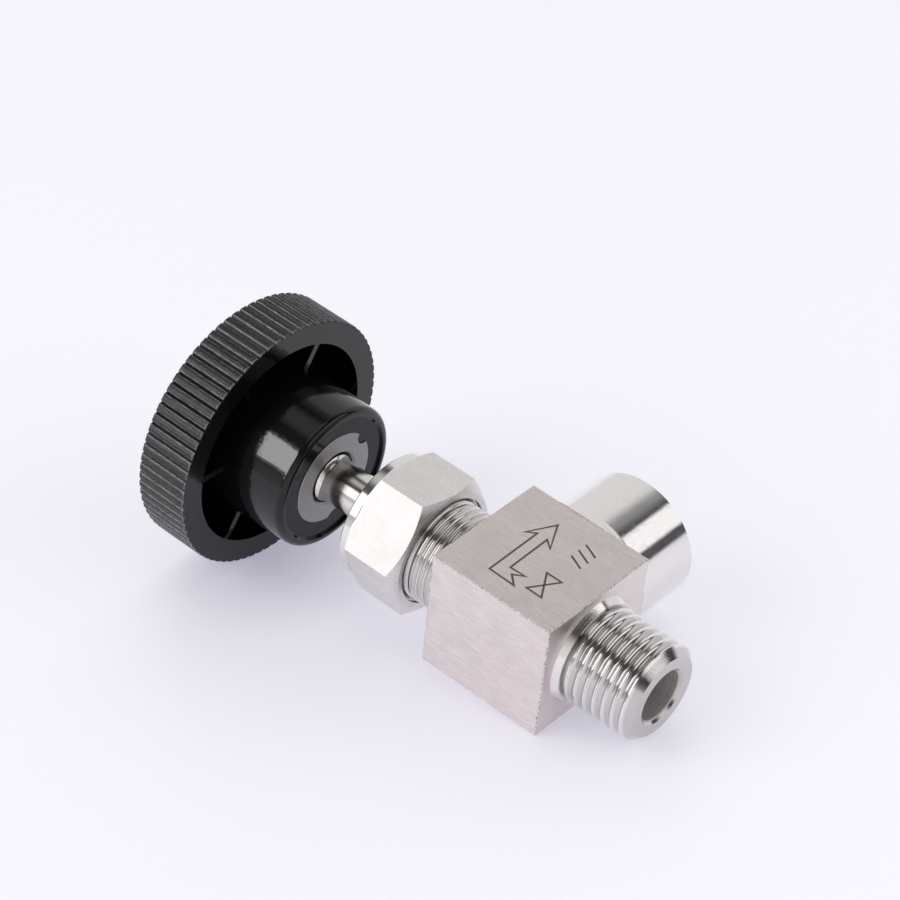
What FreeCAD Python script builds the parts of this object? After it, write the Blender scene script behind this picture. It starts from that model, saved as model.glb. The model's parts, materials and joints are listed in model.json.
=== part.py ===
"""Angle needle valve, 1/4 inch: male inlet, female outlet at 90 degrees, black handwheel.

Every piece is modelled in the valve's own axes: X along the stem, from the handwheel (-X) to the
male inlet (+X); Y along the outlet; Z square to both, out of the marked face of the block; the
origin where the stem axis crosses the outlet axis. The whole valve is then laid down the way it
rests on a table, on the lower inlet-side edge of the block and on the rim of the handwheel.
Millimetres. The needle is drawn closed on its seat.
"""
import FreeCAD, Part
import math
import os

from FreeCAD import Vector

# ---- valve body: block, inlet, outlet, neck -------------------------------------------------
BLOCK_HALF_X = 9.25
BLOCK_Y_MIN = -9.05
BLOCK_Y_MAX = 9.7
BLOCK_HALF_Z = 8.7
BLOCK_EDGE_BREAK = 0.12
CHAMFER = 0.2                     # the small chamfer that turned edges carry
MOUTH_CHAMFER = 0.25              # the one at the mouth of a bore

THREAD_CREST = 0.12               # width of a thread's flat crest, as a share of its pitch
PIPE_PITCH = 25.4 / 18            # 18 threads per inch, cut straight
PIPE_MAJOR_R = 6.7
PIPE_ROOT_R = 6.28
PIPE_GROOVES = 6
INLET_TIP_X = 20.5
INLET_TIP_R = 5.6                 # flat ring at the end of the male inlet
UNDERCUT_X = (10.28, 10.55)
UNDERCUT_R = 6.3
INLET_SHOULDER_X = 10.15
INLET_SHOULDER_R = 7.0
INLET_SHOULDER_FOOT_R = 7.5       # where the cone meets the block
INLET_BORE_R = 3.5
INLET_BORE_CHAMFER = 0.45
INLET_BORE_END_X = 8.0

SEAT_X = 3.2
SEAT_R = 1.75
DRILL_POINT = math.radians(59)    # half the point angle of a twist drill

BOSS_R = 8.5
BOSS_END_Y = 20.8
BOSS_FILLET = 1.45
OUTLET_MINOR_R = 6.05
OUTLET_MAJOR_R = 6.6
OUTLET_GROOVES = 6
OUTLET_DEPTH = 10.6
OUTLET_PASSAGE_R = 2.5

NECK_R = 7.0                      # M14 x 1
NECK_ROOT_R = 6.62
NECK_PITCH = 1.0
NECK_GROOVES = 9
NECK_END_X = -19.4
NECK_CHAMFER = 0.4
STEM_BORE_R = 3.03                # major radius of the M6 stem thread, with running clearance
STEM_BORE_END_X = -8.3
RELIEF_R = 4.3
PACKING_FLOOR_X = -13.2
PACKING_BORE_R = 5.0

# ---- packing set ---------------------------------------------------------------------------
PACKING_IN_R = 3.04
PACKING_OUT_R = 4.97
SUPPORT_THICK = 0.8
CHEVRON_DEPTH = 0.5
CHEVRON_THICK = 0.85
BASE_RING_EDGE_X = -14.6          # where the base ring's inner and outer lips end
PACKING_TOP_X = -18.4
V_RINGS = 3

# ---- gland and nut ---------------------------------------------------------------------------
GLAND_IN_R = 3.08
GLAND_R = 4.93
GLAND_FLANGE_R = 6.4
GLAND_CHAMFER = 0.3
GLAND_FLANGE_X = -19.95
GLAND_END_X = -21.55

NUT_FLATS = 17.0
NUT_CORNER_ANGLE = 113.0          # first corner, degrees from +Y towards +Z
NUT_FACE_X = -14.75
NUT_FACE_R = 8.26
NUT_HEX_END_X = -22.5
NUT_COLLAR_R = 8.65
NUT_COLLAR_X = -23.1
NUT_END_X = -24.4
NUT_BORE_R = 7.05
NUT_MOUTH_R = 7.5
NUT_MOUTH_DEPTH = 0.6
NUT_FLOOR_X = -21.6
NUT_STEM_HOLE_R = 3.3
NUT_CHAMFER = math.radians(30)

# ---- stem and needle -------------------------------------------------------------------------
STEM_R = 3.0
STEM_THREAD_R = 2.98
STEM_THREAD_ROOT_R = 2.56
STEM_THREAD_PITCH = 1.0
STEM_THREAD_X = -3.2              # its first crest
STEM_GROOVES = 5
STEM_END_X = -1.3
STEM_SHOULDER_R = 3.35
STEM_SHOULDER_X = -33.45
STEM_FLARE = 1.2                  # length of the flare up to the shoulder
STEM_SEAT_X = -34.8
SHANK_FLATS = 4.6
SHANK_END_X = -44.2
STOP_RING_X = (-9.15, -8.45)
STOP_RING_GROOVE_R = 2.3
STOP_RING_R = 4.1
STOP_RING_PLAY = 0.03
STOP_RING_GAP = 50.0              # opening of the snap ring, degrees

NEEDLE_R = 2.4
NEEDLE_HALF_ANGLE = math.radians(20)
NEEDLE_NOSE_R = 0.5
NEEDLE_NOSE_LENGTH = 0.3
NEEDLE_SEAT_GAP = 0.03            # radial gap at the seat edge when closed
NEEDLE_BACK_X = -1.2
NEEDLE_NECK_R = 1.0
NEEDLE_HEAD_R = 1.5
NEEDLE_HEAD_X = (-3.6, -2.6)
TIP_POCKET_R = 1.6
TIP_POCKET_X = -3.65
RETAINER_R = 2.0
RETAINER_IN_R = 1.05
RETAINER_X = (-2.5, -1.5)

# ---- handwheel -------------------------------------------------------------------------------
WHEEL_R = 17.72
WHEEL_VALLEY_R = 17.28
WHEEL_RIDGES = 76
WHEEL_FLANK_R = 17.58             # where a ridge's steep flank meets its rounded top
WHEEL_FLANK_SHARE = 0.34          # half-width of the rounded top, as a share of the spacing
WHEEL_NEAR_X = -42.7
WHEEL_FAR_X = -50.55
WHEEL_EDGE = 0.14
RIM_IN_R = 14.38
RIM_IN_DEEP_R = 13.9
WEB_X = -48.3
HUB_R = 10.15
HUB_ROOT_R = 10.6
HUB_FACE_X = -33.15
HUB_EDGE_R = 0.9
HUB_LIP = 1.1                     # width of the rounded lip round the recess
HUB_LIP_SLOPE = 0.35
HUB_RECESS_X = -33.55
WHEEL_RIBS = 6
WHEEL_RIB_ANGLE = 58.0
WHEEL_RIB_THICK = 0.9
WHEEL_RIB_X = -44.0
TOP_RECESS_R = 13.6
TOP_RECESS_X = -49.9
TOP_RECESS_SLOPE = 0.4
CAP_SEAT_R = 7.3
CAP_SEAT_X = -49.5
SCREW_POCKET_R = 5.2

INSERT_X = -33.38
INSERT_END_X = -44.5
INSERT_FLANGE_R = 6.5
INSERT_FLANGE_X = -35.3
INSERT_BODY_R = 5.0
INSERT_GROOVE_R = 4.4
INSERT_GROOVE_X = (-40.6, -38.2)
INSERT_BORE_R = 3.65
INSERT_EDGE = 0.1
INSERT_SQUARE = 4.66
INSERT_NOTCHES = ((37.0, 1.25, 6.75), (-84.0, 1.5, 7.15))   # angle, notch radius, distance out

WASHER_R, WASHER_IN_R, WASHER_THICK = 4.8, 1.6, 0.8
LOCK_R, LOCK_IN_R, LOCK_THICK = 3.0, 1.6, 0.8
LOCK_GAP = 12.0                   # opening of the spring washer, degrees
SCREW_R, SCREW_HEAD_R, SCREW_HEAD_H, SCREW_LENGTH = 1.5, 2.8, 2.0, 8.0
SCREW_HEAD_ROUND = 0.4
SCREW_CLEARANCE = 0.03
SCREW_SOCKET_FLATS, SCREW_SOCKET_DEPTH = 2.0, 1.2
CAP_R, CAP_THICK, CAP_DOME, CAP_CHAMFER = 7.2, 0.95, 0.35, 0.35
CAP_SKIRT_R, CAP_SKIRT_IN_R, CAP_SKIRT_END_X = 5.15, 4.4, -48.4

AXIS_X = Vector(1, 0, 0)
AXIS_Y = Vector(0, 1, 0)
ORIGIN = Vector(0, 0, 0)
PAST = 1.0                        # how far a cutting tool runs past the face it opens


# ---- helpers ---------------------------------------------------------------------------------
def point_x(x, r):
    """A profile point of a piece turned about the stem axis."""
    return Vector(x, r, 0)


def point_y(y, r):
    """A profile point of a piece turned about the outlet axis."""
    return Vector(r, y, 0)


def turned(points, make=point_x, axis=AXIS_X):
    """A full turn of a closed profile. A point given as (mid, end) is an arc through mid to end."""
    edges = []
    here = make(*points[0])
    for item in points[1:] + [points[0]]:
        if isinstance(item[0], tuple):
            mid, end = make(*item[0]), make(*item[1])
            edges.append(Part.Arc(here, mid, end).toShape())
        else:
            end = make(*item)
            if here.isEqual(end, 1e-9):
                continue
            edges.append(Part.makeLine(here, end))
        here = end
    return Part.Face(Part.Wire(edges)).revolve(ORIGIN, axis, 360)


def rod(x0, x1, r):
    """A plain cylinder on the stem axis."""
    return Part.makeCylinder(r, abs(x1 - x0), Vector(min(x0, x1), 0, 0), AXIS_X)


def polar(x, r, degrees):
    """A point at a radius and angle about the stem axis, from +Y towards +Z."""
    a = math.radians(degrees)
    return Vector(x, r * math.cos(a), r * math.sin(a))


def prism(x0, x1, sides, flats, first_corner):
    """A regular prism on the stem axis, given its size across flats."""
    corner_r = flats / 2 / math.cos(math.pi / sides)
    corners = [polar(x0, corner_r, first_corner + 360.0 * i / sides) for i in range(sides)]
    wire = Part.makePolygon(corners + [corners[0]])
    return Part.Face(wire).extrude(Vector(x1 - x0, 0, 0))


def thread(first_crest, grooves, pitch, crest_r, root_r, step):
    """A thread's outline as rings: narrow flat crests with a round groove between each two."""
    crest = step * THREAD_CREST * pitch
    points = []
    for i in range(grooves + 1):
        at = first_crest + step * i * pitch
        points += [(at, crest_r), (at + crest, crest_r)]
        if i < grooves:
            following = at + step * pitch
            points.append((((at + crest + following) / 2, root_r), (following, crest_r)))
    return points


# ---- valve body ------------------------------------------------------------------------------
def block():
    size = (2 * BLOCK_HALF_X, BLOCK_Y_MAX - BLOCK_Y_MIN, 2 * BLOCK_HALF_Z)
    box = Part.makeBox(*size, Vector(-BLOCK_HALF_X, BLOCK_Y_MIN, -BLOCK_HALF_Z))
    return box.makeChamfer(BLOCK_EDGE_BREAK, box.Edges)


def inlet_spigot():
    """The male inlet: a coned shoulder, an undercut, the threads and a chamfered end."""
    first_crest = INLET_TIP_X - (PIPE_MAJOR_R - INLET_TIP_R)
    points = [(0, 0), (INLET_TIP_X, 0), (INLET_TIP_X, INLET_TIP_R)]
    points += thread(first_crest, PIPE_GROOVES, PIPE_PITCH, PIPE_MAJOR_R, PIPE_ROOT_R, -1)
    points += [
        (UNDERCUT_X[1], UNDERCUT_R),
        (UNDERCUT_X[0], UNDERCUT_R),
        (INLET_SHOULDER_X, INLET_SHOULDER_R),
        (BLOCK_HALF_X, INLET_SHOULDER_FOOT_R),
        (0, INLET_SHOULDER_FOOT_R),
    ]
    return turned(points)


def neck():
    """The M14 neck that the packing nut screws onto."""
    points = [(0, 0), (NECK_END_X, 0), (NECK_END_X, NECK_R - NECK_CHAMFER)]
    points += thread(NECK_END_X + NECK_CHAMFER, NECK_GROOVES, NECK_PITCH, NECK_R, NECK_ROOT_R, 1)
    points.append((0, NECK_R))
    return turned(points)


def outlet_boss():
    """The round outlet, flared where it leaves the block."""
    f = BOSS_FILLET
    half = f * (1 - math.sqrt(0.5))
    points = [
        (0, 0),
        (0, BOSS_R + f),
        (BLOCK_Y_MAX, BOSS_R + f),
        ((BLOCK_Y_MAX + half, BOSS_R + half), (BLOCK_Y_MAX + f, BOSS_R)),
        (BOSS_END_Y - CHAMFER, BOSS_R),
        (BOSS_END_Y, BOSS_R - CHAMFER),
        (BOSS_END_Y, 0),
    ]
    flare = turned(points, point_y, AXIS_Y)
    size = (2 * BLOCK_HALF_X, BOSS_END_Y, 2 * BLOCK_HALF_Z)
    return flare.common(Part.makeBox(*size, Vector(-BLOCK_HALF_X, 0, -BLOCK_HALF_Z)))


def inlet_passage():
    cone = (INLET_BORE_R - SEAT_R) / math.tan(DRILL_POINT)
    return turned([
        (INLET_TIP_X + PAST, 0),
        (INLET_TIP_X + PAST, INLET_BORE_R + INLET_BORE_CHAMFER),
        (INLET_TIP_X, INLET_BORE_R + INLET_BORE_CHAMFER),
        (INLET_TIP_X - INLET_BORE_CHAMFER, INLET_BORE_R),
        (INLET_BORE_END_X, INLET_BORE_R),
        (INLET_BORE_END_X - cone, SEAT_R),
        (SEAT_X, SEAT_R),
        (SEAT_X, STEM_BORE_R),
        (STEM_BORE_END_X, STEM_BORE_R),
        (STEM_BORE_END_X, RELIEF_R),
        (PACKING_FLOOR_X, RELIEF_R),
        (PACKING_FLOOR_X, PACKING_BORE_R),
        (NECK_END_X + MOUTH_CHAMFER, PACKING_BORE_R),
        (NECK_END_X, PACKING_BORE_R + MOUTH_CHAMFER),
        (NECK_END_X - PAST, PACKING_BORE_R + MOUTH_CHAMFER),
        (NECK_END_X - PAST, 0),
    ])


def outlet_passage():
    bottom = BOSS_END_Y - OUTLET_DEPTH
    cone = (OUTLET_MINOR_R - OUTLET_PASSAGE_R) / math.tan(DRILL_POINT)
    mouth = OUTLET_MAJOR_R - OUTLET_MINOR_R + CHAMFER
    points = [
        (0, 0),
        (BOSS_END_Y + PAST, 0),
        (BOSS_END_Y + PAST, OUTLET_MINOR_R + mouth),
        (BOSS_END_Y, OUTLET_MINOR_R + mouth),
    ]
    points += thread(
        BOSS_END_Y - mouth, OUTLET_GROOVES, PIPE_PITCH, OUTLET_MINOR_R, OUTLET_MAJOR_R, -1
    )
    points += [
        (bottom, OUTLET_MINOR_R),
        (bottom - cone, OUTLET_PASSAGE_R),
        (0, OUTLET_PASSAGE_R),
    ]
    return turned(points, point_y, AXIS_Y)


def valve_body():
    solid = block().fuse([inlet_spigot(), neck(), outlet_boss()])
    return solid.cut([inlet_passage(), outlet_passage()]).removeSplitter()


# ---- packing ---------------------------------------------------------------------------------
def packing_ring(top_x, bottom_x, top_v, bottom_v):
    """A ring of the packing set. A side with a V rises by the chevron's depth at mid-width."""
    mid = (PACKING_IN_R + PACKING_OUT_R) / 2
    points = [(bottom_x, PACKING_IN_R)]
    if bottom_v:
        points.append((bottom_x - CHEVRON_DEPTH, mid))
    points += [(bottom_x, PACKING_OUT_R), (top_x, PACKING_OUT_R)]
    if top_v:
        points.append((top_x - CHEVRON_DEPTH, mid))
    points.append((top_x, PACKING_IN_R))
    return turned(points)


def packing_set():
    support_top = PACKING_FLOOR_X - SUPPORT_THICK
    pieces = {
        "packing_support_washer": packing_ring(support_top, PACKING_FLOOR_X, False, False),
        "packing_base_ring": packing_ring(BASE_RING_EDGE_X, support_top, True, False),
    }
    edge = BASE_RING_EDGE_X
    for i in range(V_RINGS):
        pieces[f"packing_v_ring_{i + 1}"] = packing_ring(edge - CHEVRON_THICK, edge, True, True)
        edge -= CHEVRON_THICK
    pieces["packing_top_ring"] = packing_ring(PACKING_TOP_X, edge, False, True)
    return pieces


def packing_gland():
    return turned([
        (PACKING_TOP_X, GLAND_IN_R),
        (PACKING_TOP_X, GLAND_R),
        (GLAND_FLANGE_X, GLAND_R),
        (GLAND_FLANGE_X, GLAND_FLANGE_R - CHAMFER),
        (GLAND_FLANGE_X - CHAMFER, GLAND_FLANGE_R),
        (GLAND_END_X + GLAND_CHAMFER, GLAND_FLANGE_R),
        (GLAND_END_X, GLAND_FLANGE_R - GLAND_CHAMFER),
        (GLAND_END_X, GLAND_IN_R),
    ])


def packing_nut():
    """A hexagon chamfered at both ends, with a turned collar on the handwheel side."""
    corner_r = NUT_FLATS / 2 / math.cos(math.pi / 6)
    big = corner_r + 1
    slope = 1 / math.tan(NUT_CHAMFER)
    turned_limit = turned([
        (NUT_FACE_X, 0),
        (NUT_FACE_X, NUT_FACE_R),
        (NUT_FACE_X - (big - NUT_FACE_R) / slope, big),
        (NUT_HEX_END_X + (big - corner_r) / slope, big),
        (NUT_HEX_END_X - (corner_r - NUT_FACE_R) / slope, NUT_FACE_R),
        (NUT_HEX_END_X - (corner_r - NUT_FACE_R) / slope, 0),
    ])
    hexagon = prism(NUT_FACE_X, NUT_END_X, 6, NUT_FLATS, NUT_CORNER_ANGLE).common(turned_limit)
    collar = turned([
        (NUT_COLLAR_X, 0),
        (NUT_COLLAR_X, NUT_COLLAR_R),
        (NUT_END_X + CHAMFER, NUT_COLLAR_R),
        (NUT_END_X, NUT_COLLAR_R - CHAMFER),
        (NUT_END_X, 0),
    ])
    hollow = turned([
        (NUT_FACE_X + PAST, 0),
        (NUT_FACE_X + PAST, NUT_MOUTH_R),
        (NUT_FACE_X - NUT_MOUTH_DEPTH, NUT_MOUTH_R),
        (NUT_FACE_X - NUT_MOUTH_DEPTH - MOUTH_CHAMFER, NUT_BORE_R),
        (NUT_FLOOR_X, NUT_BORE_R),
        (NUT_FLOOR_X, NUT_STEM_HOLE_R),
        (NUT_END_X + CHAMFER, NUT_STEM_HOLE_R),
        (NUT_END_X, NUT_STEM_HOLE_R + CHAMFER),
        (NUT_END_X - PAST, NUT_STEM_HOLE_R + CHAMFER),
        (NUT_END_X - PAST, 0),
    ])
    return hexagon.fuse(collar).cut(hollow).removeSplitter()


# ---- needle and stem ---------------------------------------------------------------------------
def needle_tip():
    """The cone that closes the seat, hung in the stem's end by its head so that it need not turn."""
    taper = math.tan(NEEDLE_HALF_ANGLE)
    cone_start = SEAT_X - (NEEDLE_R - SEAT_R + NEEDLE_SEAT_GAP) / taper
    nose = cone_start + (NEEDLE_R - NEEDLE_NOSE_R) / taper
    return turned([
        (NEEDLE_HEAD_X[0], 0),
        (NEEDLE_HEAD_X[0], NEEDLE_HEAD_R),
        (NEEDLE_HEAD_X[1], NEEDLE_HEAD_R),
        (NEEDLE_HEAD_X[1], NEEDLE_NECK_R),
        (NEEDLE_BACK_X, NEEDLE_NECK_R),
        (NEEDLE_BACK_X, NEEDLE_R),
        (cone_start, NEEDLE_R),
        (nose, NEEDLE_NOSE_R),
        (nose + NEEDLE_NOSE_LENGTH, 0),
    ])


def tip_retainer():
    return turned([
        (RETAINER_X[0], RETAINER_IN_R),
        (RETAINER_X[0], RETAINER_R),
        (RETAINER_X[1], RETAINER_R),
        (RETAINER_X[1], RETAINER_IN_R),
    ])


def needle_stem():
    """Threaded at the needle end, plain through the packing, square where the handwheel sits."""
    flare_mid = (STEM_SHOULDER_X + 0.35 * STEM_FLARE, STEM_R + 0.27 * (STEM_SHOULDER_R - STEM_R))
    points = [(STEM_END_X, 0), (STEM_END_X, STEM_THREAD_ROOT_R), (RETAINER_X[0], STEM_THREAD_ROOT_R)]
    points += thread(
        STEM_THREAD_X, STEM_GROOVES, STEM_THREAD_PITCH, STEM_THREAD_R, STEM_THREAD_ROOT_R, -1
    )
    points += [
        (STOP_RING_X[1], STEM_THREAD_R),
        (STOP_RING_X[1], STOP_RING_GROOVE_R),
        (STOP_RING_X[0], STOP_RING_GROOVE_R),
        (STOP_RING_X[0], STEM_R),
        (STEM_SHOULDER_X + STEM_FLARE, STEM_R),
        (flare_mid, (STEM_SHOULDER_X, STEM_SHOULDER_R)),
        (STEM_SEAT_X, STEM_SHOULDER_R),
        (STEM_SEAT_X, 0),
    ]
    shank = prism(STEM_SEAT_X, SHANK_END_X, 4, SHANK_FLATS, 45)
    pocket = turned([
        (TIP_POCKET_X, 0),
        (TIP_POCKET_X, TIP_POCKET_R),
        (RETAINER_X[0], TIP_POCKET_R),
        (RETAINER_X[0], RETAINER_R),
        (STEM_END_X + PAST, RETAINER_R),
        (STEM_END_X + PAST, 0),
    ])
    screw_hole = rod(SHANK_END_X, SHANK_END_X + SCREW_LENGTH, SCREW_R + SCREW_CLEARANCE)
    return turned(points).fuse(shank).cut([pocket, screw_hole]).removeSplitter()


def split_ring(x0, x1, in_r, out_r, gap_degrees):
    """A flat ring with a gap, such as a snap ring."""
    ring = turned([(x0, in_r), (x0, out_r), (x1, out_r), (x1, in_r)])
    half = gap_degrees / 2
    far = 2 * out_r
    wedge = Part.makePolygon([
        Vector(x0, 0, 0), polar(x0, far, 90 - half), polar(x0, far, 90 + half), Vector(x0, 0, 0)
    ])
    return ring.cut(Part.Face(wedge).extrude(Vector(x1 - x0, 0, 0)))


def stem_stop_ring():
    """The snap ring that meets the support washer when the valve is fully open."""
    x0, x1 = STOP_RING_X[0] + STOP_RING_PLAY, STOP_RING_X[1] - STOP_RING_PLAY
    return split_ring(x0, x1, STOP_RING_GROOVE_R, STOP_RING_R, STOP_RING_GAP)


# ---- handwheel -----------------------------------------------------------------------------------
def ridged_disc():
    """The outside of the rim: ridges with round tops and steep flanks that meet in valleys."""
    step = 360.0 / WHEEL_RIDGES
    edges = []
    for i in range(WHEEL_RIDGES):
        middle = -90 + i * step
        rise = polar(WHEEL_NEAR_X, WHEEL_FLANK_R, middle - WHEEL_FLANK_SHARE * step)
        crest = polar(WHEEL_NEAR_X, WHEEL_R, middle)
        fall = polar(WHEEL_NEAR_X, WHEEL_FLANK_R, middle + WHEEL_FLANK_SHARE * step)
        valleys = [polar(WHEEL_NEAR_X, WHEEL_VALLEY_R, middle + side * step / 2) for side in (-1, 1)]
        edges.append(Part.makeLine(valleys[0], rise))
        edges.append(Part.Arc(rise, crest, fall).toShape())
        edges.append(Part.makeLine(fall, valleys[1]))
    face = Part.Face(Part.Wire(edges))
    disc = face.extrude(Vector(WHEEL_FAR_X - WHEEL_NEAR_X, 0, 0))
    limit = turned([
        (WHEEL_NEAR_X, 0),
        (WHEEL_NEAR_X, WHEEL_R - WHEEL_EDGE),
        (WHEEL_NEAR_X - WHEEL_EDGE, WHEEL_R),
        (WHEEL_NEAR_X - WHEEL_EDGE, WHEEL_R + PAST),
        (WHEEL_FAR_X + WHEEL_EDGE, WHEEL_R + PAST),
        (WHEEL_FAR_X + WHEEL_EDGE, WHEEL_R),
        (WHEEL_FAR_X, WHEEL_R - WHEEL_EDGE),
        (WHEEL_FAR_X, 0),
    ])
    return disc.common(limit)


def hub():
    """The hub: a rounded lip around a shallow recess that shows the insert."""
    e = HUB_EDGE_R
    bend = e * (1 - math.sqrt(0.5))
    return turned([
        (HUB_RECESS_X, 0),
        (HUB_RECESS_X, HUB_R - HUB_LIP - HUB_LIP_SLOPE),
        (HUB_FACE_X, HUB_R - HUB_LIP),
        (HUB_FACE_X, HUB_R - e),
        ((HUB_FACE_X - bend, HUB_R - bend), (HUB_FACE_X - e, HUB_R)),
        (WEB_X, HUB_ROOT_R),
        (WHEEL_FAR_X, HUB_ROOT_R),
        (WHEEL_FAR_X, 0),
    ])


def underside_hollow():
    """The ring-shaped hollow between the hub and the rim."""
    return turned([
        (WHEEL_NEAR_X + PAST, HUB_R - PAST),
        (WHEEL_NEAR_X + PAST, RIM_IN_R),
        (WHEEL_NEAR_X, RIM_IN_R),
        (WEB_X, RIM_IN_DEEP_R),
        (WEB_X, HUB_R - PAST),
    ])


def wheel_ribs():
    """Thin radial walls that stiffen the web, each rooted in the hub, the rim and the web."""
    root = 0.3
    length = (RIM_IN_R + root) - (HUB_R - root)
    ribs = []
    for i in range(WHEEL_RIBS):
        corner = Vector(WEB_X - root, HUB_R - root, -WHEEL_RIB_THICK / 2)
        rib = Part.makeBox(WHEEL_RIB_X - WEB_X + root, length, WHEEL_RIB_THICK, corner)
        rib.rotate(ORIGIN, AXIS_X, WHEEL_RIB_ANGLE + 360.0 * i / WHEEL_RIBS)
        ribs.append(rib)
    return ribs


def insert_outside():
    """The outside of the metal insert that the plastic is moulded around."""
    shape = turned([
        (INSERT_X, 0),
        (INSERT_X, INSERT_FLANGE_R - INSERT_EDGE),
        (INSERT_X - INSERT_EDGE, INSERT_FLANGE_R),
        (INSERT_FLANGE_X, INSERT_FLANGE_R),
        (INSERT_FLANGE_X, INSERT_BODY_R),
        (INSERT_GROOVE_X[1], INSERT_BODY_R),
        (INSERT_GROOVE_X[1], INSERT_GROOVE_R),
        (INSERT_GROOVE_X[0], INSERT_GROOVE_R),
        (INSERT_GROOVE_X[0], INSERT_BODY_R),
        (INSERT_END_X, INSERT_BODY_R),
        (INSERT_END_X, 0),
    ])
    for angle, radius, out in INSERT_NOTCHES:
        centre = polar(INSERT_FLANGE_X, out, angle)
        shape = shape.cut(Part.makeCylinder(radius, INSERT_X - INSERT_FLANGE_X + PAST, centre, AXIS_X))
    return shape


def handwheel_insert():
    square = prism(INSERT_X + PAST, INSERT_END_X - PAST, 4, INSERT_SQUARE, 45)
    mouth = turned([
        (INSERT_X + PAST, 0),
        (INSERT_X + PAST, INSERT_BORE_R + MOUTH_CHAMFER),
        (INSERT_X, INSERT_BORE_R + MOUTH_CHAMFER),
        (INSERT_X - MOUTH_CHAMFER, INSERT_BORE_R),
        (STEM_SEAT_X, INSERT_BORE_R),
        (STEM_SEAT_X, 0),
    ])
    return insert_outside().cut([square, mouth])


def handwheel():
    top = turned([
        (WHEEL_FAR_X - PAST, 0),
        (WHEEL_FAR_X - PAST, TOP_RECESS_R + TOP_RECESS_SLOPE),
        (WHEEL_FAR_X, TOP_RECESS_R + TOP_RECESS_SLOPE),
        (TOP_RECESS_X, TOP_RECESS_R),
        (TOP_RECESS_X, CAP_SEAT_R),
        (CAP_SEAT_X, CAP_SEAT_R),
        (CAP_SEAT_X, SCREW_POCKET_R),
        (INSERT_END_X, SCREW_POCKET_R),
        (INSERT_END_X, 0),
    ])
    solid = ridged_disc().cut(underside_hollow()).fuse([hub()] + wheel_ribs())
    return solid.cut([top, insert_outside()]).removeSplitter()


def handwheel_fasteners():
    """The washers, screw and cap on the handwheel's outer side."""
    washer_x = INSERT_END_X - WASHER_THICK
    lock_x = washer_x - LOCK_THICK
    head_x = lock_x - SCREW_HEAD_H
    screw_end = lock_x + SCREW_LENGTH
    bend = SCREW_HEAD_ROUND * (1 - math.sqrt(0.5))
    socket = prism(head_x, head_x + SCREW_SOCKET_DEPTH, 6, SCREW_SOCKET_FLATS, 0)
    screw = turned([
        (head_x, 0),
        (head_x, SCREW_HEAD_R - SCREW_HEAD_ROUND),
        ((head_x + bend, SCREW_HEAD_R - bend), (head_x + SCREW_HEAD_ROUND, SCREW_HEAD_R)),
        (lock_x, SCREW_HEAD_R),
        (lock_x, SCREW_R),
        (screw_end - CHAMFER, SCREW_R),
        (screw_end, SCREW_R - CHAMFER),
        (screw_end, 0),
    ]).cut(socket)
    cap_top = CAP_SEAT_X - CAP_THICK
    dome_r = CAP_R - CAP_CHAMFER
    sphere_r = (dome_r ** 2 + CAP_DOME ** 2) / (2 * CAP_DOME)
    half_angle = math.asin(dome_r / sphere_r) / 2
    dome_top = cap_top - CAP_DOME
    dome_mid = (dome_top + sphere_r * (1 - math.cos(half_angle)), sphere_r * math.sin(half_angle))
    cap = turned([
        (CAP_SKIRT_END_X, CAP_SKIRT_IN_R),
        (CAP_SKIRT_END_X, CAP_SKIRT_R),
        (CAP_SEAT_X, CAP_SKIRT_R),
        (CAP_SEAT_X, CAP_R),
        (cap_top + CAP_CHAMFER, CAP_R),
        (cap_top, dome_r),
        (dome_mid, (dome_top, 0)),
        (CAP_SEAT_X, 0),
        (CAP_SEAT_X, CAP_SKIRT_IN_R),
    ])
    washer = turned([
        (INSERT_END_X, WASHER_IN_R),
        (INSERT_END_X, WASHER_R),
        (washer_x, WASHER_R),
        (washer_x, WASHER_IN_R),
    ])
    return {
        "handwheel_washer": washer,
        "handwheel_lock_washer": split_ring(lock_x, washer_x, LOCK_IN_R, LOCK_R, LOCK_GAP),
        "handwheel_screw": screw,
        "handwheel_cap": cap,
    }


# ---- laying the valve down -------------------------------------------------------------------------
def lying_tilt():
    """The slope of the stem axis when the block's lower inlet-side edge and the rim touch a table."""
    block_foot = (BLOCK_HALF_X - BLOCK_EDGE_BREAK, -BLOCK_HALF_Z)
    rim_foot = (WHEEL_NEAR_X - WHEEL_EDGE, -WHEEL_R)
    return math.degrees(math.atan2(block_foot[1] - rim_foot[1], block_foot[0] - rim_foot[0]))


def lay_down(pieces):
    """Tilt every piece and set the origin at the middle of the bottom of the whole box."""
    tilt = FreeCAD.Placement(ORIGIN, FreeCAD.Rotation(AXIS_Y, lying_tilt()))
    laid = {name: shape.transformed(tilt.toMatrix(), True) for name, shape in pieces.items()}
    box = FreeCAD.BoundBox()
    for shape in laid.values():
        box.add(shape.optimalBoundingBox(False, False))
    shift = Vector(-box.Center.x, -box.Center.y, -box.ZMin)
    for shape in laid.values():
        shape.translate(shift)
    print(f"tilt {lying_tilt():.6f} shift {shift.x:.6f} {shift.y:.6f} {shift.z:.6f}")
    print(f"size {box.XLength:.3f} {box.YLength:.3f} {box.ZLength:.3f}")
    return laid


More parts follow.
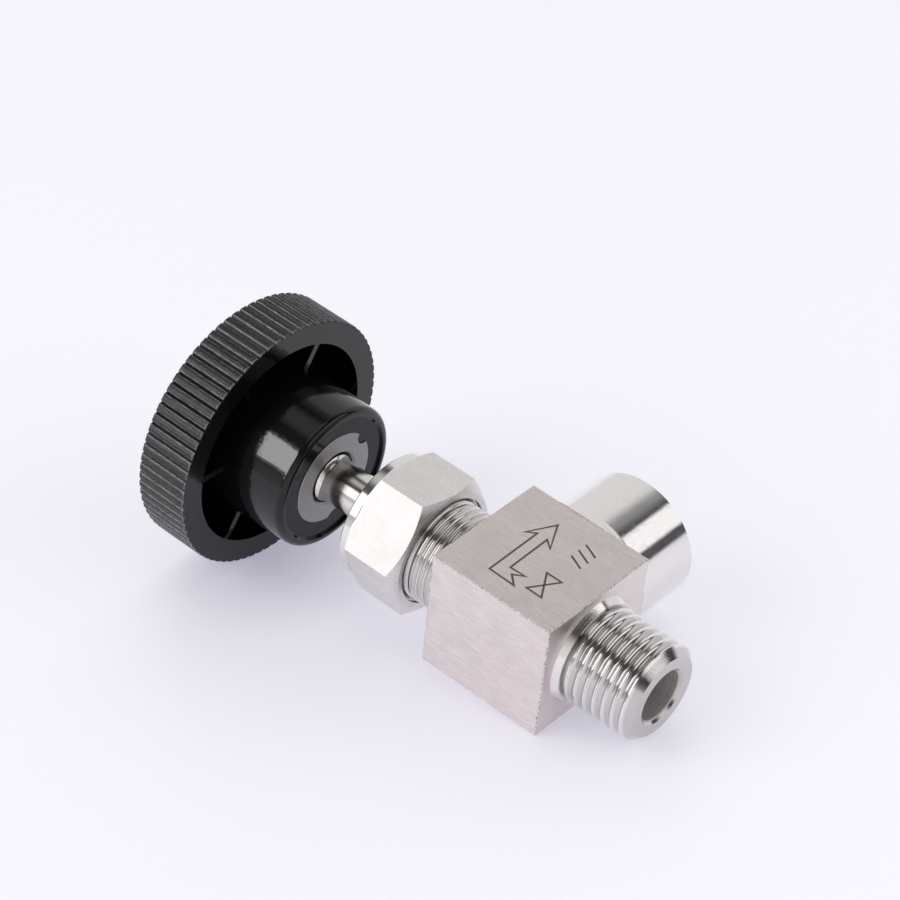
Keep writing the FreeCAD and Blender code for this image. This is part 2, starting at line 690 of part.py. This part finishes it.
def main():
    pieces = {
        "valve_body": valve_body(),
        **packing_set(),
        "packing_gland": packing_gland(),
        "packing_nut": packing_nut(),
        "needle_tip": needle_tip(),
        "tip_retainer": tip_retainer(),
        "needle_stem": needle_stem(),
        "stem_stop_ring": stem_stop_ring(),
        "handwheel": handwheel(),
        "handwheel_insert": handwheel_insert(),
        **handwheel_fasteners(),
    }
    os.makedirs("parts", exist_ok=True)
    for name, shape in lay_down(pieces).items():
        solid = shape.Solids[0] if len(shape.Solids) == 1 else shape
        solid.exportStep(f"parts/{name}.step")
        state = "" if solid.isValid() else "NOT VALID"
        print(f"{name:26s} solids {len(shape.Solids)} volume {shape.Volume:9.2f} {state}")


main()
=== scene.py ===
"""Looks of the angle needle valve: materials, the etched flow arrow, table, light and camera.

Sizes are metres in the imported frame. The valve's own axes are used wherever that is plainer:
millimetres, X along the stem towards the inlet, Y along the outlet, Z out of the marked face,
from the point where the stem and outlet axes cross. `place` turns them into the frame.
"""

import json
import math

import bmesh
import bpy
from mathutils import Matrix, Vector


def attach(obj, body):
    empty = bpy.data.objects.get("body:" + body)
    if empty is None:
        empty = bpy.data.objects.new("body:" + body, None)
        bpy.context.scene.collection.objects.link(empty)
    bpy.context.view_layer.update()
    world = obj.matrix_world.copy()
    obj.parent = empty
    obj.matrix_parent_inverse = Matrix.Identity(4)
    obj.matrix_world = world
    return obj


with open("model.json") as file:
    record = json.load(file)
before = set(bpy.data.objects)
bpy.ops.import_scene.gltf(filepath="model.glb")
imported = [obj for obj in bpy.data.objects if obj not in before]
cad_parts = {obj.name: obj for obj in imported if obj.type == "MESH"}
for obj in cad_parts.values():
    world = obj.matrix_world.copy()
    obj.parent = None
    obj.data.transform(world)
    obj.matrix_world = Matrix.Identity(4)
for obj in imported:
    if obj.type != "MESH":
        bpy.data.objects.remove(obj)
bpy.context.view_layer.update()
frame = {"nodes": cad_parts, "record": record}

MM = 0.001

# ---- the valve's own axes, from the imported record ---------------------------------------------
MOUNTS = {m["name"]: m for m in frame["record"]["mounts"]}
STEM_AXIS = Vector(MOUNTS["inlet_thread"]["axis"]).normalized()
OUTLET_AXIS = Vector((0, 1, 0))
FACE_AXIS = STEM_AXIS.cross(OUTLET_AXIS).normalized()
INLET_POINT = Vector(MOUNTS["inlet_thread"]["pos_m"])
OUTLET_POINT = Vector(MOUNTS["outlet_port"]["pos_m"])
ORIGIN = Vector((OUTLET_POINT.x, INLET_POINT.y, OUTLET_POINT.z))
VALVE = Matrix((STEM_AXIS, OUTLET_AXIS, FACE_AXIS)).transposed().to_4x4()
VALVE.translation = ORIGIN


def place(x, y, z):
    """A point in the valve's axes, millimetres, as a point of the frame, metres."""
    return VALVE @ Vector((x * MM, y * MM, z * MM))


# ---- node helpers -----------------------------------------------------------------------------
class Shader:
    """A material under construction: short calls for the nodes that the finishes share."""

    def __init__(self, name):
        self.material = bpy.data.materials.new(name)
        self.material.use_nodes = True
        self.tree = self.material.node_tree
        self.surface = self.tree.nodes["Principled BSDF"]
        self.coords = self.tree.nodes.new("ShaderNodeTexCoord").outputs["Object"]

    def set(self, **values):
        for key, value in values.items():
            self.surface.inputs[key.replace("_", " ")].default_value = value

    def link(self, source, target):
        self.tree.links.new(source, target)

    def feed(self, socket, value):
        """Gives a socket a plain value, or the output of another node."""
        if isinstance(value, (int, float, tuple)):
            socket.default_value = value
        else:
            self.link(value, socket)

    def math(self, operation, a, b=None):
        node = self.tree.nodes.new("ShaderNodeMath")
        node.operation = operation
        self.feed(node.inputs[0], a)
        if b is not None:
            self.feed(node.inputs[1], b)
        return node.outputs[0]

    def product(self, first, *others):
        for other in others:
            first = self.math("MULTIPLY", first, other)
        return first

    def above(self, value, limit):
        return self.math("GREATER_THAN", value, limit)

    def below(self, value, limit):
        return self.math("LESS_THAN", value, limit)

    def along(self, axis):
        """Distance in millimetres from the valve's origin along one of its axes."""
        node = self.tree.nodes.new("ShaderNodeVectorMath")
        node.operation = "DOT_PRODUCT"
        self.link(self.coords, node.inputs[0])
        node.inputs[1].default_value = axis / MM
        return self.math("SUBTRACT", node.outputs["Value"], axis.dot(ORIGIN) / MM)

    def position(self):
        """The point in the valve's axes, millimetres, and its distance from the stem axis."""
        x, y, z = (self.along(axis) for axis in (STEM_AXIS, OUTLET_AXIS, FACE_AXIS))
        squares = self.math("ADD", self.product(y, y), self.product(z, z))
        return x, y, z, self.math("SQRT", squares)

    def vector(self, x, y, z):
        node = self.tree.nodes.new("ShaderNodeCombineXYZ")
        for socket, value in zip(node.inputs, (x, y, z)):
            self.feed(socket, value)
        return node.outputs[0]

    def noise(self, vector, scale, detail=3.0, roughness=0.5):
        node = self.tree.nodes.new("ShaderNodeTexNoise")
        node.inputs["Scale"].default_value = scale
        node.inputs["Detail"].default_value = detail
        node.inputs["Roughness"].default_value = roughness
        self.link(vector, node.inputs["Vector"])
        return node.outputs["Fac"]

    def span(self, value, low, high, to_low=0.0, to_high=1.0):
        """Maps low..high to to_low..to_high, held at the ends."""
        node = self.tree.nodes.new("ShaderNodeMapRange")
        self.link(value, node.inputs["Value"])
        limits = {"From Min": low, "From Max": high, "To Min": to_low, "To Max": to_high}
        for key, number in limits.items():
            node.inputs[key].default_value = number
        return node.outputs["Result"]

    def mix(self, factor, a, b):
        """A blend of two colours, each a colour or a socket."""
        node = self.tree.nodes.new("ShaderNodeMix")
        node.data_type = "RGBA"
        self.link(factor, node.inputs["Factor"])
        for key, value in (("A", a), ("B", b)):
            socket = [s for s in node.inputs if s.name == key and s.type == "RGBA"][0]
            self.feed(socket, value)
        return [s for s in node.outputs if s.type == "RGBA"][0]

    def blend(self, factor, a, b):
        """A blend of two numbers, each a number or a socket."""
        node = self.tree.nodes.new("ShaderNodeMix")
        self.link(factor, node.inputs["Factor"])
        for index, value in ((2, a), (3, b)):
            self.feed(node.inputs[index], value)
        return node.outputs[0]

    def bump(self, height, distance, strength=1.0):
        node = self.tree.nodes.new("ShaderNodeBump")
        node.inputs["Strength"].default_value = strength
        node.inputs["Distance"].default_value = distance
        self.link(height, node.inputs["Height"])
        self.link(node.outputs["Normal"], self.surface.inputs["Normal"])

    def complete(self, colour, roughness):
        """Links the two inputs that every finish varies, and hands the material over."""
        self.link(colour, self.surface.inputs["Base Color"])
        self.link(roughness, self.surface.inputs["Roughness"])
        return self.material


def rgb(r, g, b):
    return (r, g, b, 1.0)


# ---- finishes ---------------------------------------------------------------------------------
# Sizes of the parts that a finish has to tell apart, in millimetres.
BLOCK_HALF_X, BLOCK_Y_MIN, BLOCK_Y_MAX, BLOCK_HALF_Z = 9.25, -9.05, 9.7, 8.7
BLOCK_MARGIN = 0.04
EDGE_REACH = 0.2                 # how far the burrs reach from an edge of the block
BORE_R = 3.65                    # just wider than the inlet's bore
INLET_FROM_X = 10.25
INLET_ROOTS = (6.62, 6.34)       # radii between which painted shade darkens the inlet's grooves
NECK_ROOTS = (6.95, 6.68)
COLLAR_X = -22.9                 # the nut's turned collar starts here
WHEEL_NEAR_X, WHEEL_FAR_X = -42.72, -50.53
RIDGES_R = 16.98                 # just inside the valleys between the ridges
FLANK_R = 17.58                  # where a ridge's flank meets its top
HIGHLIGHT_LINE_HALF = 0.055              # half the height of the painted highlight line along that corner
# The painted highlight also covers the ridges' tops from here to the near face.
HIGHLIGHT_END_X = -42.92
HUB_RECESS_X, HUB_RECESS_R = -33.65, 9.0

# Heights of the reliefs, in metres.
METAL_RELIEF = 0.00002
STEM_RELIEF = 0.00001
INSERT_RELIEF = 0.00003
PLASTIC_RELIEF = 0.00008

GROUND_DARK, GROUND_LIGHT = rgb(0.71, 0.625, 0.60), rgb(0.90, 0.845, 0.83)
GROUND_CLOUD, GROUND_PIT = rgb(0.68, 0.61, 0.59), rgb(0.40, 0.36, 0.34)
BURR, NICK = rgb(0.95, 0.93, 0.92), rgb(0.16, 0.14, 0.13)
TURNED_DARK, TURNED_LIGHT = rgb(0.76, 0.735, 0.72), rgb(0.89, 0.87, 0.86)
# The second colour on the next line is painted shade for the threads' grooves.
TURNED_SCUFF, THREAD_ROOT_SHADE = rgb(0.48, 0.46, 0.45), rgb(0.46, 0.44, 0.43)
BORE_DARK, BORE_LIGHT = rgb(0.24, 0.21, 0.195), rgb(0.98, 0.95, 0.93)
DRAWN_DARK, DRAWN_LIGHT = rgb(0.70, 0.665, 0.655), rgb(0.86, 0.83, 0.82)
DRAWN_CLOUD, COLLAR = rgb(0.62, 0.595, 0.585), rgb(0.80, 0.785, 0.775)
# Black moulding, then the light grey of its painted highlight line, then the grey of its painted
# glints.
BLACK, BLACK_HIGHLIGHT, BLACK_GLINT = (
    rgb(0.004, 0.004, 0.0048), rgb(0.17, 0.17, 0.175), rgb(0.13, 0.13, 0.135)
)
# Specular tints: full, and a dark one that paints shade into the reflections of the hub's recess.
FULL_TINT, RECESS_SHADE_TINT = rgb(1.0, 1.0, 1.0), rgb(0.15, 0.15, 0.16)


def near_edges(s, x, y, z):
    """1 near the block's edges, where two faces end; 0 elsewhere."""
    middle_y, half_y = (BLOCK_Y_MIN + BLOCK_Y_MAX) / 2, (BLOCK_Y_MAX - BLOCK_Y_MIN) / 2
    ends = []
    for value, middle, half in ((x, 0.0, BLOCK_HALF_X), (y, middle_y, half_y), (z, 0.0, BLOCK_HALF_Z)):
        outward = s.math("ABSOLUTE", s.math("SUBTRACT", value, middle))
        ends.append(s.above(outward, half - EDGE_REACH))
    count = s.math("ADD", s.math("ADD", ends[0], ends[1]), ends[2])
    return s.above(count, 1.5)       # two of the three, or all of them at a corner


def grain_along(s, x, y, z, fine):
    """Streaks that run along X: fine across the grain, long with it."""
    stretched = s.vector(s.product(x, 0.06 * fine), s.product(y, fine), s.product(z, fine))
    return s.noise(stretched, 1.0, 6, 0.72)


def stainless_body():
    """Ground flat faces with a straight grain; turned threads, outlet and bore with fine rings."""
    s = Shader("stainless_body")
    x, y, z, radius = s.position()
    point = s.vector(x, y, z)
    on_boss = s.above(y, BLOCK_Y_MAX + BLOCK_MARGIN)
    in_bore = s.below(radius, BORE_R)
    in_block = s.product(
        s.below(s.math("ABSOLUTE", x), BLOCK_HALF_X + BLOCK_MARGIN),
        s.below(y, BLOCK_Y_MAX + BLOCK_MARGIN),
    )
    grain = grain_along(s, x, y, z, 9.0)
    cloud = s.noise(point, 0.3, 4, 0.6)
    rings = s.noise(s.vector(s.blend(on_boss, x, y), 0.0, 0.0), 11.0, 5, 0.75)
    scuffs = s.noise(point, 3.2, 6, 0.8)
    knocks = s.noise(s.vector(x, s.product(y, 0.35), z), 2.0, 5, 0.8)
    pits = s.noise(point, 6.0, 3, 0.6)
    ragged = s.noise(point, 3.4, 4, 0.75)
    edge = near_edges(s, x, y, z)
    burrs = s.product(edge, s.span(ragged, 0.5, 0.58))
    nicks = s.product(edge, s.span(ragged, 0.46, 0.40), 0.75)

    flat_height = s.math("ADD", grain, s.product(burrs, 4.0))
    turned_height = s.math(
        "ADD",
        s.product(rings, s.blend(in_bore, 0.5, 4.0)),
        s.product(scuffs, s.blend(on_boss, 0.15, 0.25)),
    )
    s.bump(s.blend(in_block, turned_height, flat_height), METAL_RELIEF, 0.5)

    flat = s.mix(s.span(grain, 0.36, 0.64), GROUND_DARK, GROUND_LIGHT)
    flat = s.mix(s.span(cloud, 0.42, 0.66, 0.0, 0.35), flat, GROUND_CLOUD)
    flat = s.mix(s.span(pits, 0.66, 0.76, 0.0, 0.4), flat, GROUND_PIT)
    flat = s.mix(burrs, flat, BURR)
    flat = s.mix(nicks, flat, NICK)

    on_inlet = s.above(x, INLET_FROM_X)
    # Painted shade: the threads' grooves darken towards their roots, on the neck and on the inlet.
    root_shade = s.blend(on_inlet, s.span(radius, *NECK_ROOTS), s.span(radius, *INLET_ROOTS))
    in_threads = s.math("SUBTRACT", 1.0, s.math("MAXIMUM", on_boss, in_bore))
    turned = s.mix(s.span(rings, 0.3, 0.7), TURNED_DARK, TURNED_LIGHT)
    turned = s.mix(s.span(scuffs, 0.58, 0.72, 0.0, 0.5), turned, TURNED_SCUFF)
    turned = s.mix(s.product(root_shade, in_threads, 0.65), turned, THREAD_ROOT_SHADE)
    turned = s.mix(in_bore, turned, s.mix(s.span(rings, 0.38, 0.62), BORE_DARK, BORE_LIGHT))

    thread_rough = s.span(scuffs, 0.35, 0.7, 0.06, 0.14)
    boss_rough = s.span(knocks, 0.40, 0.66, 0.07, 0.2)
    turned_rough = s.blend(in_bore, s.blend(on_boss, thread_rough, boss_rough), 0.32)
    flat_rough = s.span(grain, 0.3, 0.7, 0.30, 0.42)
    s.link(s.blend(in_bore, 1.0, 0.5), s.surface.inputs["Metallic"])
    return s.complete(s.mix(in_block, turned, flat), s.blend(in_block, turned_rough, flat_rough))


def stainless_nut():
    """Bright drawn hexagon bar: flats with a lengthwise grain, turned ends."""
    s = Shader("stainless_nut")
    x, y, z, _ = s.position()
    grain = grain_along(s, x, y, z, 8.0)
    cloud = s.noise(s.vector(x, y, z), 0.4, 4, 0.6)
    rings = s.noise(s.vector(x, 0.0, 0.0), 12.0, 4, 0.7)
    on_collar = s.below(x, COLLAR_X)
    s.bump(s.blend(on_collar, grain, s.product(rings, 0.4)), METAL_RELIEF, 0.45)
    flat = s.mix(s.span(grain, 0.32, 0.68), DRAWN_DARK, DRAWN_LIGHT)
    flat = s.mix(s.span(cloud, 0.4, 0.7, 0.0, 0.3), flat, DRAWN_CLOUD)
    s.set(Metallic=1.0)
    rough = s.blend(on_collar, s.span(grain, 0.3, 0.7, 0.22, 0.34), 0.12)
    return s.complete(s.mix(on_collar, flat, COLLAR), rough)


def turned_steel(name, low, high, rough):
    """Turned about the stem axis, with fine tool lines."""
    s = Shader(name)
    x, y, z, _ = s.position()
    rings = s.noise(s.vector(x, 0.0, 0.0), 12.0, 4, 0.7)
    smudge = s.noise(s.vector(x, y, z), 0.5, 3, 0.55)
    s.bump(rings, STEM_RELIEF, 0.3)
    s.set(Metallic=1.0)
    return s.complete(
        s.mix(s.span(rings, 0.3, 0.7), low, high), s.span(smudge, 0.35, 0.7, rough, rough + 0.05)
    )


def insert_metal():
    """Dull grey face of the moulded-in insert, faced on a lathe."""
    s = Shader("insert_metal")
    x, y, z, radius = s.position()
    speck = s.noise(s.vector(x, y, z), 5.0, 5, 0.7)
    rings = s.noise(s.vector(radius, 0.0, 0.0), 9.0, 3, 0.6)
    s.bump(s.math("ADD", speck, s.product(rings, 0.5)), INSERT_RELIEF, 0.5)
    s.set(Metallic=0.85)
    colour = s.mix(s.span(speck, 0.35, 0.68), rgb(0.20, 0.20, 0.198), rgb(0.44, 0.44, 0.435))
    return s.complete(colour, s.span(speck, 0.3, 0.7, 0.32, 0.5))


def black_moulding(name):
    """Black thermoset: glossy as moulded, dull on the ridges, with a painted highlight line and
    painted glints on them, and painted shade dimming the reflections in the hub's recess.
    """
    s = Shader(name)
    x, y, z, radius = s.position()
    point = s.vector(x, y, z)
    inside_ends = s.product(s.below(x, WHEEL_NEAR_X), s.above(x, WHEEL_FAR_X))
    on_ridges = s.product(s.above(radius, RIDGES_R), inside_ends)
    in_shaded_recess = s.product(s.above(x, HUB_RECESS_X), s.below(radius, HUB_RECESS_R))
    ripple = s.noise(point, 0.9, 2)
    dust = s.noise(point, 7.0, 6, 0.8)
    glint_noise = s.noise(point, 3.6, 5, 0.85)
    scratch = s.noise(s.vector(s.product(x, 1.2), s.product(y, 9), s.product(z, 9)), 1.0, 5, 0.7)
    handled = s.noise(s.vector(s.product(x, 0.5), s.product(y, 3), s.product(z, 3)), 1.6, 5, 0.75)
    height = s.blend(on_ridges, s.product(ripple, 0.25), s.math("ADD", dust, scratch))
    s.bump(height, PLASTIC_RELIEF, 0.8)

    # Painted highlight: a light line along the corner where each ridge's flank meets its top, and over
    # the ridges' near end, broken up by the scratch noise.
    corner = s.below(s.math("ABSOLUTE", s.math("SUBTRACT", radius, FLANK_R)), HIGHLIGHT_LINE_HALF)
    end = s.product(s.above(x, HIGHLIGHT_END_X), s.above(radius, FLANK_R))
    highlight_strength = s.span(scratch, 0.40, 0.62, 0.15, 1.0)
    painted_highlight = s.product(s.math("MAXIMUM", corner, end), highlight_strength, on_ridges)
    # Painted glints: light specks, dense on the ridges and sparse elsewhere.
    painted_glints = s.product(s.span(glint_noise, 0.58, 0.68), s.blend(on_ridges, 0.05, 0.6))
    colour = s.mix(painted_glints, s.mix(painted_highlight, BLACK, BLACK_HIGHLIGHT), BLACK_GLINT)

    polished = s.math("ADD", s.span(dust, 0.4, 0.8, 0.07, 0.14), s.span(handled, 0.54, 0.70, 0.0, 0.2))
    dull = s.span(dust, 0.3, 0.7, 0.14, 0.28)
    # Painted shade: a dark specular tint dims the reflections in the hub's recess.
    s.link(s.mix(in_shaded_recess, FULL_TINT, RECESS_SHADE_TINT), s.surface.inputs["Specular Tint"])
    s.set(Specular_IOR_Level=0.4)
    return s.complete(colour, s.blend(on_ridges, polished, dull))


def ptfe():
    s = Shader("ptfe")
    cloud = s.noise(s.coords, 700.0, 3)
    s.bump(cloud, METAL_RELIEF, 0.3)
    colour = s.mix(s.span(cloud, 0.35, 0.65), rgb(0.86, 0.86, 0.83), rgb(0.93, 0.93, 0.91))
    return s.complete(colour, s.span(cloud, 0.3, 0.7, 0.42, 0.55))


def etched_brown():
    """The oxide of a laser mark, darker where the beam dwelt."""
    s = Shader("etched_brown")
    speck = s.noise(s.coords, 5000.0, 4, 0.7)
    s.set(Metallic=0.35)
    colour = s.mix(s.span(speck, 0.3, 0.7), rgb(0.12, 0.075, 0.05), rgb(0.24, 0.16, 0.115))
    return s.complete(colour, s.span(speck, 0.3, 0.7, 0.4, 0.6))


STEM_COLOURS = rgb(0.70, 0.66, 0.62), rgb(0.82, 0.79, 0.76)
SPRING_COLOURS = rgb(0.18, 0.18, 0.185), rgb(0.26, 0.26, 0.27)
ZINC_COLOURS = rgb(0.66, 0.68, 0.71), rgb(0.76, 0.78, 0.8)

FINISHES = {
    "stainless_body": stainless_body(),
    "stainless_nut": stainless_nut(),
    "stainless_turned": turned_steel("stainless_turned", *STEM_COLOURS, 0.13),
    "spring_steel": turned_steel("spring_steel", *SPRING_COLOURS, 0.28),
    "zinc_steel": turned_steel("zinc_steel", *ZINC_COLOURS, 0.2),
    "insert_metal": insert_metal(),
    "black_plastic": black_moulding("black_plastic"),
    "black_cap": black_moulding("black_cap"),
    "ptfe": ptfe(),
}


def finish_nodes():
    """Gives every carried-over node the finish of its slot."""
    for sub in frame["record"]["subparts"]:
        mesh = frame["nodes"][sub["node"]].data
        mesh.materials.clear()
        mesh.materials.append(FINISHES[sub["material_slot"]])


# ---- the etched marks on the block ------------------------------------------------------------
MARK_WIDTH = 0.27
MARK_PROUD = 0.012
MARK_SUNK = 0.02

# Points on the marked face, in the valve's axes.
FLOW_ARROW = [
    (-2.36, 6.18), (-0.21, 2.19), (-1.55, 3.22), (-1.41, -3.80), (0.87, -3.70),
    (-0.48, -4.60), (0.95, -5.90), (-2.98, -5.81), (-3.12, 3.23), (-4.30, 2.33),
]
BOW_TIE = [(2.25, -5.1), (4.6, -5.1), (2.25, -1.3), (4.6, -1.3)]
STROKES = [[(4.6, start), (2.3, start + 1.0)] for start in (2.2, 3.6, 5.0)]
LEAST_MITRE = 0.35


def ribbon(bm, points, width, closed):
    """A flat strip of even width along a line of points on the marked face, mitred at its corners."""
    pts = [Vector(p) for p in points]
    n = len(pts)
    sides = []
    for i, p in enumerate(pts):
        before = pts[i - 1] if closed or i else None
        after = pts[(i + 1) % n] if closed or i < n - 1 else None
        d0 = (p - before).normalized() if before else (after - p).normalized()
        d1 = (after - p).normalized() if after else d0
        n0, n1 = Vector((-d0.y, d0.x)), Vector((-d1.y, d1.x))
        mitre = (n0 + n1).normalized()
        reach = width / 2 / max(LEAST_MITRE, mitre.dot(n0))
        sides.append((p + mitre * reach, p - mitre * reach))
    rings = []
    for left, right in sides:
        ring = []
        for q, h in ((left, MARK_PROUD), (right, MARK_PROUD), (right, -MARK_SUNK), (left, -MARK_SUNK)):
            ring.append(bm.verts.new(place(q.x, q.y, BLOCK_HALF_Z + h)))
        rings.append(ring)
    last = n if closed else n - 1
    for i in range(last):
        a, b = rings[i], rings[(i + 1) % n]
        for k in range(4):
            bm.faces.new((a[k], a[(k + 1) % 4], b[(k + 1) % 4], b[k]))
    if not closed:
        bm.faces.new(reversed(rings[0]))
        bm.faces.new(rings[-1])


def mesh_piece(name, bm, material, body):
    bmesh.ops.recalc_face_normals(bm, faces=bm.faces)
    mesh = bpy.data.meshes.new(name)
    bm.to_mesh(mesh)
    bm.free()
    mesh.materials.append(material)
    piece = bpy.data.objects.new(name, mesh)
    bpy.context.scene.collection.objects.link(piece)
    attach(piece, body)


def etched_marks():
    """The bent flow arrow, and a plain valve symbol where the real one carries lettering."""
    brown = etched_brown()
    bm = bmesh.new()
    ribbon(bm, FLOW_ARROW, MARK_WIDTH, True)
    mesh_piece("etched_flow_arrow", bm, brown, "valve_body")
    bm = bmesh.new()
    ribbon(bm, BOW_TIE, MARK_WIDTH, True)
    for stroke in STROKES:
        ribbon(bm, stroke, MARK_WIDTH, False)
    mesh_piece("etched_valve_symbol", bm, brown, "valve_body")


# ---- table, light and camera ------------------------------------------------------------------
CAMERA_AT = (163.55, -232.64, 267.06)        # in the valve's axes
CAMERA_TOWARDS = (-19.47, 5.34, 10.43)
CAMERA_ROLL = math.radians(-3.10)
CAMERA_LENS = 127.5

TABLE_SIZE = 6.0
TABLE_COLOUR = (0.86, 0.86, 0.82)
TABLE_PAINTED_GLOW = (0.30, 0.295, 0.38)             # painted glow: the table emits light, so its shadows are faint and cool
LAMP_TINT = (1.0, 0.985, 1.0)
LIGHT_DISTANCE = 0.9
LINKED_DISTANCE = 0.86           # clear of a shared lamp at the same place


def turned_frame(right, back, origin):
    """The matrix of a camera or lamp that looks along -back."""
    turn = Matrix((right, back.cross(right), back)).transposed().to_4x4()
    turn.translation = origin
    return turn


def camera():
    data = bpy.data.cameras.new("camera")
    data.lens = CAMERA_LENS
    data.sensor_width = 36.0
    data.clip_start = 0.01
    data.clip_end = 20.0
    at = place(*CAMERA_AT)
    back = (at - place(*CAMERA_TOWARDS)).normalized()
    level = Vector((0, 0, 1)).cross(back).normalized()
    right = level * math.cos(CAMERA_ROLL) + back.cross(level) * math.sin(CAMERA_ROLL)
    obj = bpy.data.objects.new("camera", data)
    obj.matrix_world = turned_frame(right, back, at)
    bpy.context.scene.collection.objects.link(obj)
    bpy.context.scene.camera = obj


def table():
    """A plain pale table with a faint gloss and a painted glow, running out of sight."""
    bm = bmesh.new()
    bmesh.ops.create_grid(bm, x_segments=1, y_segments=1, size=TABLE_SIZE / 2)
    mesh = bpy.data.meshes.new("table")
    bm.to_mesh(mesh)
    bm.free()
    s = Shader("table")
    s.set(Base_Color=rgb(*TABLE_COLOUR), Roughness=0.42, Specular_IOR_Level=0.35)
    # Painted glow from the table itself, which lifts and cools its shadows.
    s.set(Emission_Color=rgb(*TABLE_PAINTED_GLOW), Emission_Strength=1.0)
    mesh.materials.append(s.material)
    obj = bpy.data.objects.new("table", mesh)
    bpy.context.scene.collection.objects.link(obj)
    return obj


def direction(azimuth, elevation):
    """A unit vector, azimuth in degrees from +X towards +Y."""
    a, e = math.radians(azimuth), math.radians(elevation)
    return Vector((math.cos(a) * math.cos(e), math.sin(a) * math.cos(e), math.sin(e)))


def softbox(name, azimuth, elevation, wide, high, radiance, only=()):
    """A square lamp facing the valve; wide and high are the angles it fills, radiance 1 is white.

    With only, it lights just those objects, as a flagged lamp would.
    """
    middle = place(0, 0, 0)
    distance = LINKED_DISTANCE if only else LIGHT_DISTANCE
    width = 2 * distance * math.tan(math.radians(wide / 2))
    height = 2 * distance * math.tan(math.radians(high / 2))
    data = bpy.data.lights.new(name, "AREA")
    data.shape = "RECTANGLE"
    data.size = width
    data.size_y = height
    data.energy = radiance * math.pi * width * height
    data.color = LAMP_TINT
    back = direction(azimuth, elevation)
    right = Vector((0, 0, 1)).cross(back).normalized()
    obj = bpy.data.objects.new(name, data)
    obj.matrix_world = turned_frame(right, back, middle + back * distance)
    bpy.context.scene.collection.objects.link(obj)
    if only:
        lit = bpy.data.collections.new(name + "_lit")
        for node in only:
            lit.objects.link(node)
        obj.light_linking.receiver_collection = lit


ROOM_DARK = 0.10
ROOM_PATCHES = [
    # azimuth, elevation, edge and core of the patch as cosines, brightness
    (115, 0, 0.50, 0.64, 1.0),         # white backdrop
    (105, 34, 0.80, 0.90, 0.35),       # the backdrop's upper part, falling off
    (-62, -8, 0.55, 0.98, 1.0),        # room behind the camera
    (-125, -12, 0.80, 0.95, 0.9),      # the table's edge under the key lamp
    (180, 10, 0.40, 0.90, 0.55),       # room behind the handwheel
    (90, 90, 0.90, 0.965, 0.9),        # ceiling lamp
]


def room():
    """A dim room with bright patches, seen in the metal and lighting it softly."""
    world = bpy.data.worlds.new("room")
    world.use_nodes = True
    tree = world.node_tree
    tree.nodes.clear()
    coords = tree.nodes.new("ShaderNodeTexCoord")
    total = None
    for azimuth, elevation, edge, core, brightness in ROOM_PATCHES:
        dot = tree.nodes.new("ShaderNodeVectorMath")
        dot.operation = "DOT_PRODUCT"
        tree.links.new(coords.outputs["Generated"], dot.inputs[0])
        dot.inputs[1].default_value = direction(azimuth, elevation)
        fade = tree.nodes.new("ShaderNodeMapRange")
        fade.interpolation_type = "SMOOTHSTEP"
        tree.links.new(dot.outputs["Value"], fade.inputs["Value"])
        fade.inputs["From Min"].default_value = edge
        fade.inputs["From Max"].default_value = core
        fade.inputs["To Max"].default_value = brightness
        joined = tree.nodes.new("ShaderNodeMath")
        joined.operation = "MAXIMUM"
        tree.links.new(fade.outputs["Result"], joined.inputs[0])
        if total is None:
            joined.inputs[1].default_value = ROOM_DARK
        else:
            tree.links.new(total, joined.inputs[1])
        total = joined.outputs[0]
    background = tree.nodes.new("ShaderNodeBackground")
    output = tree.nodes.new("ShaderNodeOutputWorld")
    tree.links.new(total, background.inputs["Strength"])
    tree.links.new(background.outputs[0], output.inputs[0])
    bpy.context.scene.world = world


camera()
lit_table = table()
room()
softbox("key", -120, 35, 47, 36, 1.4)
softbox("side", 22, 31, 62, 31, 1.05)
black_nodes = (frame["nodes"]["handwheel"], frame["nodes"]["handwheel_cap"])
softbox("key_on_black", -120, 35, 44, 30, 7.8, black_nodes)
softbox("overhead", 0, 88, 100, 100, 0.29, (lit_table,))
bpy.context.scene.view_settings.view_transform = "Standard"

finish_nodes()
etched_marks()
